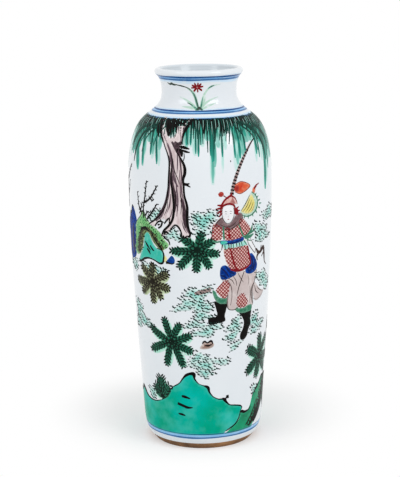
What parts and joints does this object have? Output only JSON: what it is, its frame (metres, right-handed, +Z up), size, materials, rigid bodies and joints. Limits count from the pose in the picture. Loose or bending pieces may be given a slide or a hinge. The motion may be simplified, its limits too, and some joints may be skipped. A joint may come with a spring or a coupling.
{
  "type": "vase",
  "caption": "Tall cylindrical porcelain vase with rounded shoulder, short waisted neck, rolled lip and pared unglazed foot.",
  "frame": {"origin": "centre of the foot ring, on the surface that the vase stands on", "axes": "+Z up along the axis of the vase, -Y towards the side with the painted tree and figure"},
  "size_m": [0.159, 0.159, 0.42],
  "materials": {
    "glazed_porcelain": "clear blue-white glaze over white porcelain, glossy",
    "bare_porcelain": "unglazed fired clay, toasted brown, matt",
    "underglaze_blue": "cobalt line under the clear glaze, glossy",
    "green_enamel": "transparent green overglaze enamel, glossy",
    "apple_green_enamel": "transparent yellow-green overglaze enamel, glossy",
    "pale_green_enamel": "thin pale green enamel wash, glossy",
    "aubergine_enamel": "transparent aubergine enamel, glossy",
    "yellow_enamel": "transparent yellow enamel, glossy",
    "blue_enamel": "dark blue, glossy",
    "iron_red_enamel": "iron-red overglaze enamel, satin",
    "black_line": "brush line in black-brown enamel under the coloured washes"
  },
  "bodies": {
    "root": {"base_and_foot_section": "bare_porcelain", "lower_body_section": "glazed_porcelain", "upper_body_section": "glazed_porcelain", "shoulder_section": "glazed_porcelain", "neck_and_lip_section": "glazed_porcelain"}
  },
  "joints": []
}
